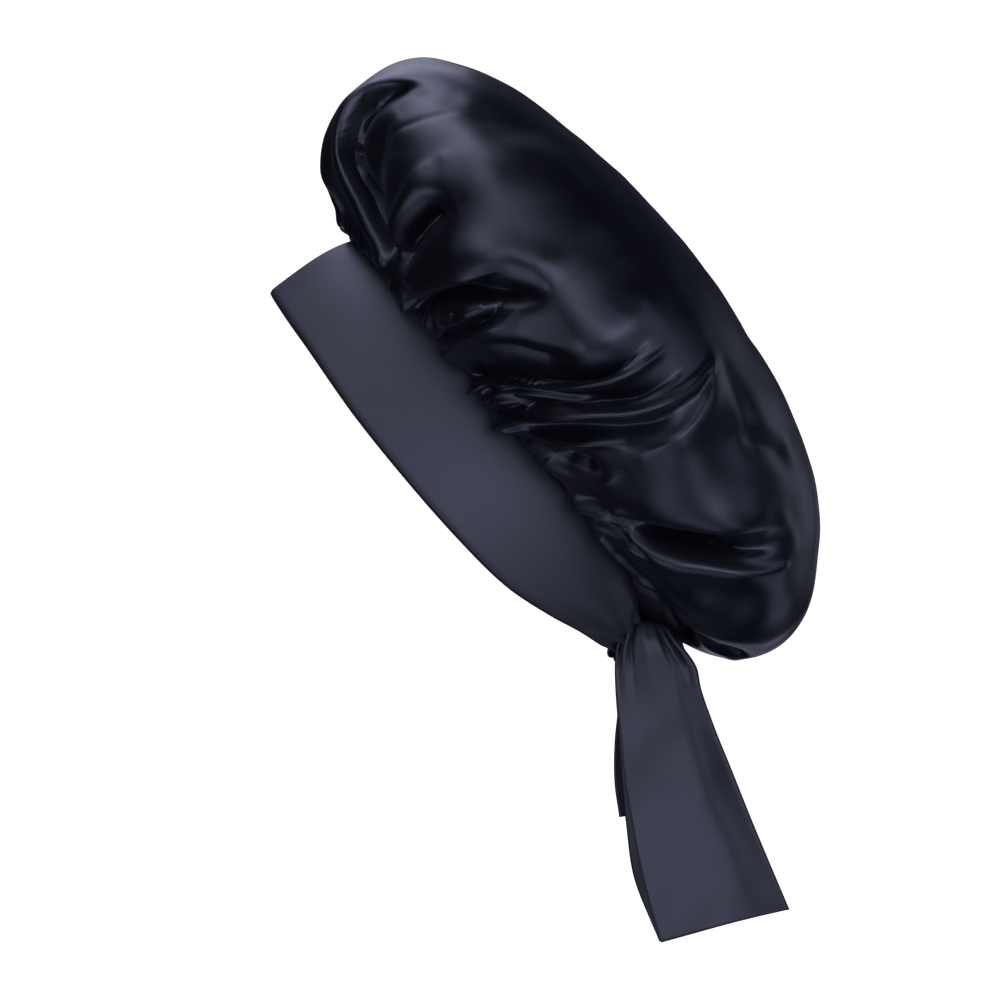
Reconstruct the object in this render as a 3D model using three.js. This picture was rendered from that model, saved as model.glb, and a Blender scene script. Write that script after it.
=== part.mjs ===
// A satin sleep bonnet in the shape it has on a head: a full gathered crown, sewn to a wide flat band that
// runs from the hairline over the ears to the nape, where its two ends are knotted and hang down as ties.
// Units are millimetres. +Z is up, the wearer faces -Y, and the wearer's left side is +X.
// The origin is the centre of the opening that the head goes into, level with the band's lower edge.
import * as THREE from "three";

// The opening's plane drops from the hairline to the nape. Inside the tilted group, +Z is the crown's axis.
const TILT = 46.6;

// Ovals round the crown's axis in the tilted group: the band's lower edge, the seam that joins the band and
// the crown, the crown's own rim, and the crown where it is widest.
const EDGE_OVAL = { front: 104.9, back: 106, side: 75, power: 2 };
const SEAM_OVAL = { front: 100.2, back: 106.7, side: 72, power: 2 };
const RIM_OVAL = { front: 100.2, back: 110.5, side: 72, power: 2 };
const PUFF_OVAL = { front: 140.7, back: 151.5, side: 115, power: 2.1 };
const CROWN_TOP = 141;
const CROWN_WALL = 1.2;
const BAND_WALL = 1.6;
const SEWING_GAP = 0.5;

// The crown's sections, by the angle round from the front. rim and widest are heights; low and high say how
// square the section is below and above its widest height (2 is an ellipse).
const CROWN_SECTIONS = [
  { angle: 0, rim: 43.5, widest: 87, low: 2.3, high: 2.65 },
  { angle: 60, rim: 39, widest: 86, low: 1.85, high: 2.5 },
  { angle: 90, rim: 35, widest: 84, low: 1.6, high: 2.3 },
  { angle: 120, rim: 34, widest: 76, low: 1.55, high: 2.05 },
  { angle: 150, rim: 31, widest: 63, low: 1.5, high: 1.94 },
  { angle: 180, rim: 22.4, widest: 53, low: 1.5, high: 1.92 },
];

// The heights of the band's two edges, by the angle round from the front.
const BAND_SECTIONS = [
  { angle: 0, lower: 0, upper: 43.5 },
  { angle: 30, lower: -3.5, upper: 42 },
  { angle: 60, lower: -9.2, upper: 39 },
  { angle: 90, lower: -12.1, upper: 35 },
  { angle: 115, lower: -12.9, upper: 33.5 },
  { angle: 130, lower: -11.8, upper: 32.5 },
  { angle: 144, lower: -7.4, upper: 31 },
  { angle: 155, lower: -3, upper: 28.5 },
  { angle: 164, lower: -0.2, upper: 25 },
  { angle: 172, lower: 1.5, upper: 20.5 },
];
const BAND_END = 171;
const BAND_TUCK = 2.5;
const BAND_TUCK_POWER = 4;

// The crown's main ridges and dents. Each runs over three points, given by the angle round from the front
// (the left side is positive) and the share of the way up from the rim to the top. lift is the height of a
// ridge, or less than nothing for a dent, and ahead and behind are its half widths on its two sides.
const FOLDS = {
  front_lip: { from: [28, 0.08], by: [18, 0.2], to: [28, 0.42], lift: 4, ahead: 9, behind: 10 },
  front_hollow: { from: [36, 0.08], by: [28, 0.2], to: [28, 0.34], lift: -7, ahead: 16, behind: 8 },
  brow_ridge: { from: [43, 0.1], by: [46, 0.23], to: [46, 0.36], lift: 4, ahead: 8, behind: 8 },
  temple_hollow: { from: [50, 0.05], by: [54, 0.16], to: [58, 0.27], lift: -5, ahead: 8, behind: 8 },
  temple_ridge: { from: [55, 0.08], by: [61, 0.18], to: [68, 0.27], lift: 4, ahead: 8, behind: 8 },
  temple_valley: { from: [61, 0.1], by: [68, 0.2], to: [80, 0.34], lift: -5, ahead: 7, behind: 8 },
  temple_pleat: { from: [66, 0.05], by: [70, 0.14], to: [73, 0.24], lift: 4, ahead: 6, behind: 7 },
  ear_pillow: { from: [78, 0.26], by: [90, 0.36], to: [104, 0.41], lift: 4, ahead: 14, behind: 14 },
  ear_valley: { from: [78, 0.07], by: [85, 0.2], to: [94, 0.31], lift: -5, ahead: 7, behind: 8 },
  upper_ear_ridge: { from: [76, 0.04], by: [90, 0.2], to: [103, 0.42], lift: 4, ahead: 7, behind: 7 },
  ear_crease: { from: [84, 0.05], by: [96, 0.21], to: [107, 0.39], lift: -6, ahead: 7, behind: 8 },
  lower_ear_ridge: { from: [90, 0.02], by: [103, 0.23], to: [117, 0.47], lift: 5, ahead: 8, behind: 8 },
  side_trough: { from: [93, 0.03], by: [104, 0.16], to: [114, 0.3], lift: -5, ahead: 7, behind: 8 },
  side_ridge: { from: [94, 0.02], by: [106, 0.16], to: [118, 0.29], lift: 4, ahead: 8, behind: 9 },
  side_dent: { from: [116, 0.02], by: [119, 0.13], to: [126, 0.22], lift: -4, ahead: 9, behind: 9 },
  nape_valley: { from: [125, 0.08], by: [136, 0.22], to: [148, 0.36], lift: -7, ahead: 9, behind: 9 },
  nape_ridge: { from: [131, 0.08], by: [143, 0.24], to: [154, 0.37], lift: 4, ahead: 8, behind: 10 },
  nape_tuck: { from: [159, 0.05], by: [165, 0.12], to: [170, 0.2], lift: -3, ahead: 8, behind: 8 },
  back_dent: { from: [126, 0.41], by: [137, 0.46], to: [151, 0.5], lift: -4, ahead: 11, behind: 11 },
  back_slope: { from: [138, 0.72], by: [170, 0.8], to: [210, 0.72], lift: -4, ahead: 30, behind: 30 },
  right_front_hollow: { from: [-30, 0.08], by: [-36, 0.22], to: [-44, 0.4], lift: -6, ahead: 11, behind: 11 },
  right_brow_ridge: { from: [-44, 0.05], by: [-50, 0.2], to: [-58, 0.38], lift: 4, ahead: 9, behind: 9 },
  right_temple_valley: { from: [-60, 0.05], by: [-68, 0.21], to: [-82, 0.38], lift: -6, ahead: 8, behind: 8 },
  right_ear_ridge: { from: [-78, 0.04], by: [-90, 0.22], to: [-108, 0.44], lift: 5, ahead: 9, behind: 9 },
  right_ear_valley: { from: [-90, 0.04], by: [-102, 0.2], to: [-116, 0.38], lift: -6, ahead: 8, behind: 9 },
  right_side_ridge: { from: [-104, 0.03], by: [-116, 0.18], to: [-130, 0.36], lift: 4, ahead: 9, behind: 9 },
  right_nape_valley: { from: [-130, 0.05], by: [-142, 0.2], to: [-154, 0.38], lift: -7, ahead: 9, behind: 9 },
};
const FOLD_STEPS = 12;
// A fold starts near the rim with part of its height already there, and dies out at its upper end.
const FOLD_START = 0.2;
const FOLD_FADE = 0.7;
const SMOOTH_RIM_ROWS = 3;

// The ties hang from the knot, folded in half along their length. Each row runs across the tie, from the two
// free edges (left in the row) to the fold (right in the row): x is how far the cloth lies out from the
// middle plane, and gape is how far the hidden half stands off the half that shows.
const LEFT_TIE = [
  { left: [81.5, -68], right: [98, -68], x: [19, 19], gape: 2 },
  { left: [74.5, -77.5], right: [103.2, -78], x: [18.5, 18], gape: 2.2 },
  { left: [73.2, -90], right: [105.8, -88], x: [16.5, 15], gape: 2.6 },
  { left: [74.2, -110], right: [111.8, -103], x: [14.5, 11], gape: 3.2 },
  { left: [77, -132], right: [119.4, -122], x: [12.5, 7.5], gape: 3.6 },
  { left: [80.5, -152], right: [127.2, -142.5], x: [11.5, 5], gape: 4.2 },
  { left: [85, -172], right: [134.1, -160.5], x: [11, 4.5], gape: 5 },
  { left: [92.6, -195.5], right: [142.3, -182], x: [11, 5], gape: 4 },
];
const RIGHT_TIE = [
  { left: [81.5, -69], right: [97, -69], x: [-19, -19], gape: 2 },
  { left: [74.5, -79], right: [101.5, -79], x: [-18.5, -18], gape: 2.2 },
  { left: [72.4, -94], right: [104.8, -91], x: [-16, -14.5], gape: 2.8 },
  { left: [72, -112], right: [109.2, -105], x: [-14.5, -11], gape: 3.2 },
  { left: [72.8, -130], right: [114.4, -122], x: [-13, -8.5], gape: 3.4 },
  { left: [75.3, -144.5], right: [119.2, -138], x: [-12, -7], gape: 3.4 },
];
const TIE_WALL = 1.1;
const TIE_FOLD_X = 4;
const TIE_BELLY = 2.5;

// The knot between the band's two ends, in the tilted group. Its cloth is wrapped round it in a few turns.
const KNOT = { along: 106, height: 9.8, width: 28, depth: 17, tall: 20 };
const KNOT_TURNS = 3;
const KNOT_GROOVE = 0.12;
const KNOT_ROUNDNESS = 0.6;

const SECTION_STEPS = 40;
const CROWN_COLUMNS = 76;
const CROWN_ROWS = 20;
const BAND_COLUMNS = 64;
const BAND_ROWS = 4;
const TIE_ROWS_PER_SECTION = 2;
const TIE_STEPS_ACROSS = 4;
const KNOT_STEPS_ROUND = 20;
const KNOT_STEPS_ALONG = 12;

const radians = THREE.MathUtils.degToRad;

// The value of one column of a table of sections at an angle, on a smooth curve through the rows.
function columnAt(sections, column, angle) {
  const at = Math.abs(angle);
  const last = sections.length - 1;
  let row = 0;
  while (row < last - 1 && at > sections[row + 1].angle) row += 1;
  const start = sections[row];
  const end = sections[row + 1];
  const before = sections[Math.max(row - 1, 0)];
  const after = sections[Math.min(row + 2, last)];
  const span = end.angle - start.angle;
  const slopeAt = (a, b) => (b.angle > a.angle ? (b[column] - a[column]) / (b.angle - a.angle) : 0);
  const slopeIn = row === 0 ? 0 : slopeAt(before, end);
  const slopeOut = row === last - 1 ? 0 : slopeAt(start, after);
  const t = THREE.MathUtils.clamp((at - start.angle) / span, 0, 1);
  const rise = end[column] - start[column];
  const bend = (1 - t) * (slopeIn * span - rise) + t * (rise - slopeOut * span);
  return start[column] + rise * t + t * (1 - t) * bend;
}

// How far an oval reaches from the crown's axis at an angle round from the front.
function reach(oval, angle) {
  const cosine = Math.cos(radians(angle));
  const sine = Math.sin(radians(angle));
  const alongReach = cosine >= 0 ? oval.front : oval.back;
  const sum = Math.abs(cosine / alongReach) ** oval.power + Math.abs(sine / oval.side) ** oval.power;
  return sum ** (-1 / oval.power);
}

// A point of the tilted group, from the angle round from the front, the distance from the axis and the
// height.
function polar(angle, distance, height) {
  return new THREE.Vector3(
    distance * Math.sin(radians(angle)),
    -distance * Math.cos(radians(angle)),
    height,
  );
}

// A quarter of a rounded oval of the given squareness, from its foot (turn 0) to its side (turn 90 degrees).
function quarter(turn, power) {
  const across = Math.sin(turn);
  const along = Math.cos(turn);
  const size = (Math.abs(across) ** power + Math.abs(along) ** power) ** (-1 / power);
  return { across: across * size, along: along * size };
}

// One section of the smooth crown, from its rim to its top, as evenly spaced points.
function crownSection(angle, rows) {
  const rimReach = reach(RIM_OVAL, angle);
  const puffReach = reach(PUFF_OVAL, angle);
  const rim = columnAt(CROWN_SECTIONS, "rim", angle) + SEWING_GAP;
  const widest = columnAt(CROWN_SECTIONS, "widest", angle);
  const low = columnAt(CROWN_SECTIONS, "low", angle);
  const high = columnAt(CROWN_SECTIONS, "high", angle);
  const line = new THREE.CurvePath();
  const points = [];
  for (let i = 0; i <= SECTION_STEPS; i += 1) {
    const q = quarter(((i / SECTION_STEPS) * Math.PI) / 2, low);
    const distance = THREE.MathUtils.lerp(rimReach, puffReach, q.across);
    points.push(polar(angle, distance, THREE.MathUtils.lerp(widest, rim, q.along)));
  }
  for (let i = 1; i <= 2 * SECTION_STEPS; i += 1) {
    const q = quarter(((i / SECTION_STEPS) * Math.PI) / 4, high);
    points.push(polar(angle, puffReach * q.along, widest + (CROWN_TOP - widest) * q.across));
  }
  for (let i = 1; i < points.length; i += 1) line.add(new THREE.LineCurve3(points[i - 1], points[i]));
  return Array.from({ length: rows + 1 }, (_, j) => line.getPointAt(j / rows));
}

// The smooth crown as columns of points, one column for each step round.
const crownColumns = Array.from({ length: CROWN_COLUMNS }, (_, i) =>
  crownSection((i / CROWN_COLUMNS) * 360 - 180, CROWN_ROWS),
);

// A point of the smooth crown at any angle and share of the way up.
function crownPoint([angle, up]) {
  const column = ((((angle + 180) / 360) * CROWN_COLUMNS) % CROWN_COLUMNS + CROWN_COLUMNS) % CROWN_COLUMNS;
  const row = Math.min(up * CROWN_ROWS, CROWN_ROWS - 1e-6);
  const i = Math.floor(column);
  const j = Math.floor(row);
  const here = crownColumns[i];
  const next = crownColumns[(i + 1) % CROWN_COLUMNS];
  const low = here[j].clone().lerp(next[j], column - i);
  const high = here[j + 1].clone().lerp(next[j + 1], column - i);
  return low.lerp(high, row - j);
}

// The line of each fold over the smooth crown, as points about a centimetre apart.
const foldLines = Object.values(FOLDS).map(({ from, by, to, ...fold }) => {
  const flat = new THREE.QuadraticBezierCurve(
    new THREE.Vector2(...from),
    new THREE.Vector2(2 * by[0] - (from[0] + to[0]) / 2, 2 * by[1] - (from[1] + to[1]) / 2),
    new THREE.Vector2(...to),
  );
  return { ...fold, line: flat.getPoints(FOLD_STEPS).map((p) => crownPoint([p.x, Math.max(p.y, 0)])) };
});

// How much all the folds lift a point of the crown. The cloth's normal there tells a fold's two sides apart.
function foldLift(point, normal) {
  let total = 0;
  for (const { line, lift, ahead, behind } of foldLines) {
    let nearest = Infinity;
    let at = 0;
    line.forEach((p, k) => {
      const distance = p.distanceTo(point);
      if (distance < nearest) {
        nearest = distance;
        at = k;
      }
    });
    const along = line[Math.min(at + 1, FOLD_STEPS)].clone().sub(line[Math.max(at - 1, 0)]);
    const side = along.cross(normal).dot(point.clone().sub(line[at]));
    const halfWidth = side > 0 ? ahead : behind;
    const share = FOLD_START + (1 - FOLD_START) * (at / FOLD_STEPS);
    const fade = Math.max(Math.sin(Math.PI * share), 0) ** FOLD_FADE;
    total += lift * fade * Math.exp(-((nearest / halfWidth) ** 2));
  }
  return total;
}

// The unit normal of a grid of points at one of them, from its neighbours along the grid's two ways.
function gridNormal(ahead, behind, above, below) {
  const along = ahead.clone().sub(behind);
  return along.cross(above.clone().sub(below)).normalize();
}

// A closed geometry from a list of points and a list of triangles.
function solid(points, triangles) {
  const geometry = new THREE.BufferGeometry();
  geometry.setAttribute("position", new THREE.Float32BufferAttribute(points.flatMap((p) => p.toArray()), 3));
  geometry.setIndex(triangles.flat());
  geometry.computeVertexNormals();
  return geometry;
}

// The crown: a bowl of cloth of even thickness, open at its rim.
function crownGeometry() {
  const outer = [];
  const inner = [];
  for (let j = 0; j < CROWN_ROWS; j += 1) {
    for (let i = 0; i < CROWN_COLUMNS; i += 1) {
      const ahead = crownColumns[(i + 1) % CROWN_COLUMNS];
      const behind = crownColumns[(i + CROWN_COLUMNS - 1) % CROWN_COLUMNS];
      const here = crownColumns[i];
      const normal = gridNormal(ahead[j], behind[j], here[j + 1], here[Math.max(j - 1, 0)]);
      const steady = THREE.MathUtils.smoothstep(j, 0, SMOOTH_RIM_ROWS);
      const lift = foldLift(here[j], normal) * steady;
      outer.push(here[j].clone().addScaledVector(normal, lift));
      inner.push(here[j].clone().addScaledVector(normal, lift - CROWN_WALL));
    }
  }
  const top = new THREE.Vector3(0, 0, CROWN_TOP);
  const points = [...outer, top, ...inner, top.clone().setZ(CROWN_TOP - CROWN_WALL)];
  const innerStart = outer.length + 1;
  const at = (i, j) => j * CROWN_COLUMNS + (i % CROWN_COLUMNS);
  const triangles = [];
  for (let i = 0; i < CROWN_COLUMNS; i += 1) {
    for (let j = 0; j < CROWN_ROWS - 1; j += 1) {
      const [a, b, c, d] = [at(i, j), at(i + 1, j), at(i + 1, j + 1), at(i, j + 1)];
      triangles.push([a, b, c], [a, c, d]);
      triangles.push([a, c, b].map((k) => k + innerStart), [a, d, c].map((k) => k + innerStart));
    }
    const last = CROWN_ROWS - 1;
    triangles.push([at(i, last), at(i + 1, last), outer.length]);
    triangles.push([at(i + 1, last), at(i, last), outer.length].map((k) => k + innerStart));
    const [a, b] = [at(i, 0), at(i + 1, 0)];
    triangles.push([a, b + innerStart, b], [a, a + innerStart, b + innerStart]);
  }
  return solid(points, triangles);
}

// A strip of cloth of even thickness. grid is a list of rows of points on its outer face.
function stripGeometry(grid, thickness) {
  const rows = grid.length;
  const columns = grid[0].length;
  const outer = [];
  const inner = [];
  grid.forEach((row, i) =>
    row.forEach((point, j) => {
      const ahead = grid[Math.min(i + 1, rows - 1)][j];
      const behind = grid[Math.max(i - 1, 0)][j];
      const normal = gridNormal(ahead, behind, row[Math.min(j + 1, columns - 1)], row[Math.max(j - 1, 0)]);
      outer.push(point.clone());
      inner.push(point.clone().addScaledVector(normal, -thickness));
    }),
  );
  const count = outer.length;
  const at = (i, j) => i * columns + j;
  const triangles = [];
  for (let i = 0; i < rows - 1; i += 1) {
    for (let j = 0; j < columns - 1; j += 1) {
      const [a, b, c, d] = [at(i, j), at(i + 1, j), at(i + 1, j + 1), at(i, j + 1)];
      triangles.push([a, b, c], [a, c, d]);
      triangles.push([a, c, b].map((k) => k + count), [a, d, c].map((k) => k + count));
    }
  }
  const rim = (a, b) => triangles.push([a, b + count, b], [a, a + count, b + count]);
  for (let i = 0; i < rows - 1; i += 1) {
    rim(at(i, 0), at(i + 1, 0));
    rim(at(i + 1, columns - 1), at(i, columns - 1));
  }
  for (let j = 0; j < columns - 1; j += 1) {
    rim(at(0, j + 1), at(0, j));
    rim(at(rows - 1, j), at(rows - 1, j + 1));
  }
  return solid([...outer, ...inner], triangles);
}

// The band: from one side of the knot, round over the hairline, to the knot's other side.
function bandGeometry() {
  const grid = [];
  for (let i = 0; i <= BAND_COLUMNS; i += 1) {
    const angle = BAND_END * ((2 * i) / BAND_COLUMNS - 1);
    const lower = columnAt(BAND_SECTIONS, "lower", angle);
    const upper = columnAt(BAND_SECTIONS, "upper", angle);
    const row = [];
    for (let j = 0; j <= BAND_ROWS; j += 1) {
      const across = j / BAND_ROWS;
      const tuck = BAND_TUCK * across ** BAND_TUCK_POWER;
      const distance = THREE.MathUtils.lerp(reach(EDGE_OVAL, angle), reach(SEAM_OVAL, angle), across) - tuck;
      row.push(polar(angle, distance, THREE.MathUtils.lerp(lower, upper, across)));
    }
    grid.push(row);
  }
  return stripGeometry(grid, BAND_WALL);
}

// A tie: each row of its table gives a hairpin across it, out along the half that shows, round the fold, and
// back.
function tieGeometry(table, outward) {
  const rows = [];
  table.forEach((row, k) => {
    const next = table[k + 1];
    const steps = next ? TIE_ROWS_PER_SECTION : 1;
    for (let step = 0; step < steps; step += 1) {
      const share = step / TIE_ROWS_PER_SECTION;
      const mix = (a, b) => (next ? THREE.MathUtils.lerp(a, b, share) : a);
      rows.push({
        left: row.left.map((v, n) => mix(v, next?.left[n])),
        right: row.right.map((v, n) => mix(v, next?.right[n])),
        x: row.x.map((v, n) => mix(v, next?.x[n])),
        gape: mix(row.gape, next?.gape),
      });
    }
  });
  const grid = rows.map(({ left, right, x, gape }) => {
    const front = [];
    const back = [];
    for (let step = 0; step <= TIE_STEPS_ACROSS; step += 1) {
      const t = step / TIE_STEPS_ACROSS;
      const y = THREE.MathUtils.lerp(left[0], right[0], t);
      const z = THREE.MathUtils.lerp(left[1], right[1], t);
      const belly = outward * TIE_BELLY * Math.sin(Math.PI * t);
      const out = THREE.MathUtils.lerp(x[0], x[1], t) + belly;
      const standOff = outward * (THREE.MathUtils.lerp(TIE_FOLD_X, gape, Math.sqrt(1 - t)) + TIE_WALL);
      front.push(new THREE.Vector3(out, y, z));
      back.push(new THREE.Vector3(out - standOff, y, z));
    }
    const fold = front.at(-1).clone().lerp(back.at(-1), 0.5);
    fold.y += TIE_FOLD_X / 2;
    const row = [...front, fold, ...back.reverse()];
    return outward > 0 ? row : row.reverse();
  });
  return stripGeometry(grid, TIE_WALL);
}

// The knot: a rounded lump along X, with a shallow groove between one turn of the cloth and the next.
function knotGeometry() {
  const profile = Array.from({ length: KNOT_STEPS_ALONG + 1 }, (_, i) => {
    const t = i / KNOT_STEPS_ALONG;
    const atEnd = i === 0 || i === KNOT_STEPS_ALONG;
    const groove = 1 - KNOT_GROOVE * (0.5 + 0.5 * Math.cos(2 * Math.PI * KNOT_TURNS * t));
    const radius = atEnd ? 0 : 0.5 * groove * Math.sin(Math.PI * t) ** KNOT_ROUNDNESS;
    return new THREE.Vector2(radius, (t - 0.5) * KNOT.width);
  });
  const lump = new THREE.LatheGeometry(profile, KNOT_STEPS_ROUND);
  lump.rotateZ(-Math.PI / 2);
  lump.scale(1, KNOT.depth, KNOT.tall);
  return lump;
}

function satin(color, roughness) {
  return new THREE.MeshStandardMaterial({ color, roughness, metalness: 0, side: THREE.DoubleSide });
}

function piece(name, geometry, material) {
  const mesh = new THREE.Mesh(geometry, material);
  mesh.name = name;
  return mesh;
}

const crownSatin = satin(0x1c1e2a, 0.36);
const bandSatin = satin(0x343642, 0.45);

const knot = piece("knot", knotGeometry(), bandSatin);
knot.position.set(0, KNOT.along, KNOT.height);

const tilted = new THREE.Group();
tilted.rotation.x = -radians(TILT);
tilted.add(
  piece("crown", crownGeometry(), crownSatin),
  piece("band", bandGeometry(), bandSatin),
  knot,
);

const bonnet = new THREE.Group();
bonnet.add(
  tilted,
  piece("left_tie", tieGeometry(LEFT_TIE, 1), bandSatin),
  piece("right_tie", tieGeometry(RIGHT_TIE, -1), bandSatin),
);

export default bonnet;
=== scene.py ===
# %% [markdown]
# # A satin sleep bonnet
#
# A sleep bonnet is a bag of slippery satin that keeps hair from rubbing on a pillow. This one is a big
# round of cloth, gathered along its edge and sewn to a wide flat band. The band's two ends are knotted at
# the nape and hang down as ties. The lesson builds it as a maker would: the band and the ties are strips,
# the crown is a gathered bag whose folds are placed one by one, and the cloth is a real kind of cloth with
# its own shine.
#
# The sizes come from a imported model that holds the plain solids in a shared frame: +Z is up, the wearer
# faces -Y, and the wearer's left is +X. Loading it first means that no piece has to be fitted afterwards.

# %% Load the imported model
import math

import bpy
import numpy as np
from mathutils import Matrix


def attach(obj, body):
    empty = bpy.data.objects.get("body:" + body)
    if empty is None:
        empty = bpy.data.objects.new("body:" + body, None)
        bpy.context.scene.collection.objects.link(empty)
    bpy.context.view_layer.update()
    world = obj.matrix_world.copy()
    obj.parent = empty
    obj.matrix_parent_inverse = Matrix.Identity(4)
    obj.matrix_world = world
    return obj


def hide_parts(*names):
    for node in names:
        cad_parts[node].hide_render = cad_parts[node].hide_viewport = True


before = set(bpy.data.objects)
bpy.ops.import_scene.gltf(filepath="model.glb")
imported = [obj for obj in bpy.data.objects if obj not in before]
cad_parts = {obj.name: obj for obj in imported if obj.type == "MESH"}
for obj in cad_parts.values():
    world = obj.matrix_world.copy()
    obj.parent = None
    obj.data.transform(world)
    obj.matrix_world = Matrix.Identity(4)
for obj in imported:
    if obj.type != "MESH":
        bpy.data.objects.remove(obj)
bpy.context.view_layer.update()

# %% [markdown]
# ## The camera
#
# The photo is taken from the wearer's left side, level with the middle of the bonnet and from about two
# metres away, so there is little perspective. A long lens copies that. The image is square, and one pixel
# of it is 0.42 mm at the middle plane of the head, which fixes the focal length once the distance is
# chosen.

# %% Camera
CAMERA_DISTANCE = 2.0
PIXEL = 0.00042
IMAGE_SIDE = 1000
SENSOR = 36.0
# The pixel that the middle of the head opening has in the photo.
ORIGIN_PIXEL = (440.5, 473.5)

camera_data = bpy.data.cameras.new("camera")
camera_data.sensor_width = SENSOR
camera_data.lens = SENSOR * CAMERA_DISTANCE / (IMAGE_SIDE * PIXEL)
camera = bpy.data.objects.new("camera", camera_data)
camera.location = (
    CAMERA_DISTANCE,
    (IMAGE_SIDE / 2 - ORIGIN_PIXEL[0]) * PIXEL,
    -(IMAGE_SIDE / 2 - ORIGIN_PIXEL[1]) * PIXEL,
)
camera.rotation_euler = (math.radians(90), 0, math.radians(90))
bpy.context.collection.objects.link(camera)
bpy.context.scene.camera = camera
print("lens", round(camera_data.lens, 2), "mm")

# %% [markdown]
# ## Helpers for colour and for nodes
#
# Colours are easiest to read as the hex codes that a paint program shows, but a shader needs linear light,
# so one function turns one into the other. A second function adds a shader node, fills in its sockets and
# links it, which keeps each material short enough to read as a recipe.

# %% Colour and node helpers


def linear(hex_code):
    """An sRGB hex colour such as 1a1c26, as linear red, green, blue and an alpha of 1."""
    parts = [int(hex_code[i : i + 2], 16) / 255 for i in (0, 2, 4)]
    return [c / 12.92 if c <= 0.04045 else ((c + 0.055) / 1.055) ** 2.4 for c in parts] + [1.0]


def add(tree, kind, inputs=None, **settings):
    """Adds a node. inputs maps a socket's name or number to a value, or to a socket that is linked to it."""
    made = tree.nodes.new(kind)
    for name, value in settings.items():
        setattr(made, name, value)
    for key, value in (inputs or {}).items():
        if isinstance(value, bpy.types.NodeSocket):
            tree.links.new(value, made.inputs[key])
        else:
            made.inputs[key].default_value = value
    return made


def new_material(name):
    """A material with an empty node tree."""
    material = bpy.data.materials.new(name)
    material.use_nodes = True
    material.node_tree.nodes.clear()
    return material, material.node_tree


# %% [markdown]
# ## The studio
#
# The floor and the backdrop are plain and pale. Black satin shows whatever it reflects, and in the photo
# its undersides are black, so the floor and the backdrop are only seen by the camera and throw no light on
# the cloth. Nearly all the light comes from soft boxes that stand round the bonnet at one distance. The
# strong one beside the camera lights the flat band, which faces it. The ones above and in front shine along
# the tops of the folds, and the ones behind draw the crown's back edge. Where the satin mirrors a gap
# between boxes, it stays black.

# %% Floor and backdrop
FLOOR_HEIGHT = -0.6
STUDIO_RADIUS = 14.0
PAPER_WHITE = "ffffff"
PAPER_ROUGHNESS = 0.9
PAPER_GLOW = 1.2


def pale(name):
    """White paper that shines a little by itself, so that it reads as evenly lit."""
    material, tree = new_material(name)
    shader = add(
        tree,
        "ShaderNodeBsdfPrincipled",
        {
            "Base Color": linear(PAPER_WHITE),
            "Roughness": PAPER_ROUGHNESS,
            "Emission Color": linear(PAPER_WHITE),
            "Emission Strength": PAPER_GLOW,
        },
    )
    add(tree, "ShaderNodeOutputMaterial", {"Surface": shader.outputs[0]})
    return material


def put_on_stage(name, thing):
    """Names a stage piece, covers it in paper and keeps it out of the cloth's light and reflections."""
    thing.name = name
    thing.data.materials.append(pale(f"pale {name} paper"))
    thing.visible_diffuse = False
    thing.visible_glossy = False
    thing.visible_shadow = False


bpy.ops.mesh.primitive_circle_add(vertices=64, radius=STUDIO_RADIUS, fill_type="NGON")
bpy.context.object.location.z = FLOOR_HEIGHT
put_on_stage("floor", bpy.context.object)
bpy.ops.mesh.primitive_uv_sphere_add(segments=48, ring_count=24, radius=STUDIO_RADIUS)
put_on_stage("backdrop", bpy.context.object)

# %% Lights
# Where each box stands (turn from the wearer's left side towards the front, lift above the horizon, in
# degrees), its size in metres, its power in watts and its tint. All stand equally far from the middle of
# the bonnet, in metres.
BOX_DISTANCE = 1.7
BONNET_MIDDLE = np.array([0.0, 0.04, 0.0])
BOX_COLUMNS = ("turn", "lift", "wide", "tall", "watts", "tint")
BOXES = {
    "by the camera": (-11, -4, 0.9, 0.8, 6.2, "e9ecff"),
    "key": (38, 45, 0.8, 0.8, 3.8, "e9ecff"),
    "front side": (12, 20, 0.9, 0.8, 3.2, "e9ecff"),
    "floor bounce": (40, -30, 0.8, 0.8, 3.5, "e9ecff"),
    "top": (84, 68, 0.8, 0.8, 5.0, "e9ecff"),
    "far top": (141, 60, 0.8, 0.9, 4.2, "dbe0ff"),
    "far rim": (170, 38, 0.7, 0.7, 2.3, "dbe0ff"),
    "side": (-33, 8, 0.8, 1.0, 3.9, "e9ecff"),
    "low side": (-40, -32, 0.8, 0.8, 1.6, "e9ecff"),
    "back side": (-70, 17, 0.9, 0.8, 2.2, "dbe0ff"),
    "back rim": (-132, 6, 0.8, 0.9, 1.0, "dbe0ff"),
    "low back": (-116, -36, 0.9, 0.9, 1.4, "dbe0ff"),
    "far side": (180, -10, 1.0, 0.8, 2.2, "dbe0ff"),
    "floor": (10, -66, 1.0, 1.0, 2.6, "dbe0ff"),
}
for name, row in BOXES.items():
    box = dict(zip(BOX_COLUMNS, row))
    light = bpy.data.lights.new(name, "AREA")
    light.shape = "RECTANGLE"
    light.size, light.size_y, light.energy = box["wide"], box["tall"], box["watts"]
    light.color = linear(box["tint"])[:3]
    lamp = bpy.data.objects.new(name, light)
    turn, lift = math.radians(box["turn"]), math.radians(box["lift"])
    way = np.array([math.cos(turn) * math.cos(lift), -math.sin(turn) * math.cos(lift), math.sin(lift)])
    lamp.location = BONNET_MIDDLE + way * BOX_DISTANCE
    lamp.rotation_euler = (math.pi / 2 - lift, 0, math.pi / 2 - turn)
    bpy.context.collection.objects.link(lamp)

world = bpy.data.worlds.new("studio air")
world.use_nodes = True
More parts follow.
